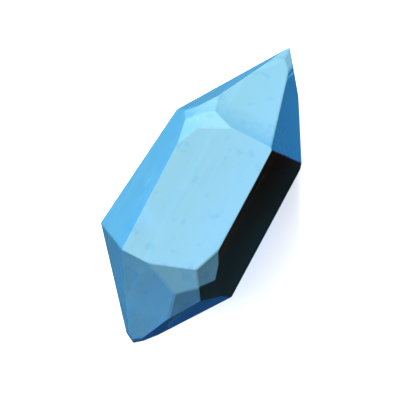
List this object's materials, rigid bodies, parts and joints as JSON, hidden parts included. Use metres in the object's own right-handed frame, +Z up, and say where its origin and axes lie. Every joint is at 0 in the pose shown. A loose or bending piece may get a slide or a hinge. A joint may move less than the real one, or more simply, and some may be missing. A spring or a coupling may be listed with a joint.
{
  "type": "aquamarine crystal",
  "caption": "Natural hexagonal aquamarine crystal with pointed ends, flat faces, small facets across its shoulders and a clear sea-blue body, lying on a side face.",
  "frame": {"origin": "on the underside, below the middle of the crystal's box", "axes": "+X along the long axis towards the sharper tip, +Z up and square to the face that the crystal lies on"},
  "size_m": [0.0614, 0.0276, 0.0256],
  "materials": {
    "aquamarine": "clear pale sea-blue beryl with smooth, glassy natural faces"
  },
  "bodies": {
    "root": {"crystal": "aquamarine"}
  },
  "joints": []
}
